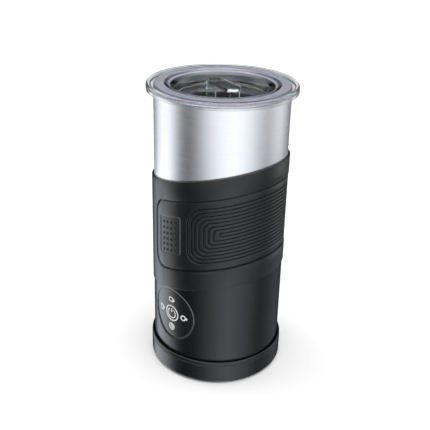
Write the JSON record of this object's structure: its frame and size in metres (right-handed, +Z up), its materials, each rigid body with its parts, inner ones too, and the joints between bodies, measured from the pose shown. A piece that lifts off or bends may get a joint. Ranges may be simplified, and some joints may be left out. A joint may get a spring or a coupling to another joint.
{
  "type": "milk frother",
  "caption": "Automatic milk frother: a cordless jug with heated pot and magnet-driven whisk, slanted rubber grip sleeve and clear lid, standing on a round power base.",
  "frame": {"origin": "middle of the underside, on the surface the rubber feet stand on", "axes": "+Z up along the jug's axis; the control panel faces -Y; the grip sleeve's edges rise towards +X"},
  "size_m": [0.1002, 0.1002, 0.2058],
  "materials": {
    "black_plastic": "satin moulded ABS",
    "gloss_black": "gloss moulded",
    "black_rubber": "matte silicone rubber",
    "shell_steel": "brushed round the jug",
    "nonstick_pot": "dark non-stick coating on steel",
    "clear_lid": "clear polished moulding",
    "seal_silicone": "translucent silicone",
    "white_window": "diffusing white",
    "contact_brass": "turned",
    "zinc_steel": "zinc plated",
    "heater_aluminium": "die cast",
    "circuit_board": "solder mask on glass fibre",
    "nylon": "natural moulded nylon"
  },
  "bodies": {
    "base": {"base_shell": "black_plastic", "base_bottom_plate": "black_plastic", "connector_post": "gloss_black", "base_contact_ring": "contact_brass", "base_contact_sleeve": "contact_brass", "cord_gland": "black_rubber", "rubber_foot_1": "black_rubber", "rubber_foot_2": "black_rubber", "rubber_foot_3": "black_rubber", "rubber_foot_4": "black_rubber", "base_screw_1": "zinc_steel", "base_screw_2": "zinc_steel", "base_screw_3": "zinc_steel"},
    "socket": {"connector_socket": "gloss_black", "socket_pin": "contact_brass", "socket_contact": "contact_brass"},
    "jug": {"lower_housing": "black_plastic", "bottom_cap": "black_plastic", "cap_screw_1": "zinc_steel", "cap_screw_2": "zinc_steel", "cap_screw_3": "zinc_steel", "grip_sleeve": "black_rubber", "steel_shell": "shell_steel", "milk_pot": "nonstick_pot", "pivot_pin": "zinc_steel", "panel_disc": "gloss_black", "button_ring": "white_window", "icon_window_top": "white_window", "icon_window_right": "white_window", "icon_window_bottom": "white_window", "icon_window_left": "white_window", "control_board": "circuit_board", "button_switch": "zinc_steel", "motor_can": "zinc_steel", "motor_bracket": "nylon", "pot_seat": "nylon", "heater_plate": "heater_aluminium", "heating_tube": "zinc_steel", "thermal_cut_out": "zinc_steel", "temperature_probe": "contact_brass"},
    "power_button": {"power_button": "gloss_black"},
    "drive": {"motor_shaft": "zinc_steel", "magnet_carrier": "nylon", "drive_magnet_1": "zinc_steel", "drive_magnet_2": "zinc_steel"},
    "whisk_bush": {"whisk_bush": "nylon"},
    "whisk": {"whisk_hub": "black_plastic", "whisk_magnet_1": "zinc_steel", "whisk_magnet_2": "zinc_steel"},
    "whisk_coil": {"whisk_coil": "shell_steel"},
    "lid": {"lid_shell": "clear_lid", "lid_seal": "seal_silicone", "lid_handle": "clear_lid"}
  },
  "joints": [
    {"name": "jug_lift", "type": "slide", "parent": "base", "child": "socket", "axis": [0, 0, 1], "range_m": [0, 0.06]},
    {"name": "jug_swivel", "type": "hinge", "parent": "socket", "child": "jug", "pos_m": [0, 0, 0.0128], "axis": [0, 0, 1], "continuous": true},
    {"name": "power_press", "type": "slide", "parent": "jug", "child": "power_button", "axis": [0, 1, 0], "range_m": [0, 0.001], "stiffness_N_per_m": 300, "springref_m": -0.001},
    {"name": "motor_spin", "type": "hinge", "parent": "jug", "child": "drive", "pos_m": [0, 0, 0.07], "axis": [0, 0, 1], "continuous": true},
    {"name": "whisk_lift", "type": "slide", "parent": "jug", "child": "whisk_bush", "axis": [0, 0, 1], "range_m": [0, 0.05]},
    {"name": "whisk_spin", "type": "hinge", "parent": "whisk_bush", "child": "whisk", "pos_m": [0, 0, 0.085], "axis": [0, 0, 1], "continuous": true},
    {"name": "coil_lift", "type": "slide", "parent": "whisk", "child": "whisk_coil", "axis": [0, 0, 1], "range_m": [0, 0.03]},
    {"name": "lid_lift", "type": "slide", "parent": "jug", "child": "lid", "axis": [0, 0, 1], "range_m": [0, 0.08]}
  ],
  "couplings": [
    {"joint": "whisk_spin", "follows": "motor_spin", "ratio": 1}
  ]
}
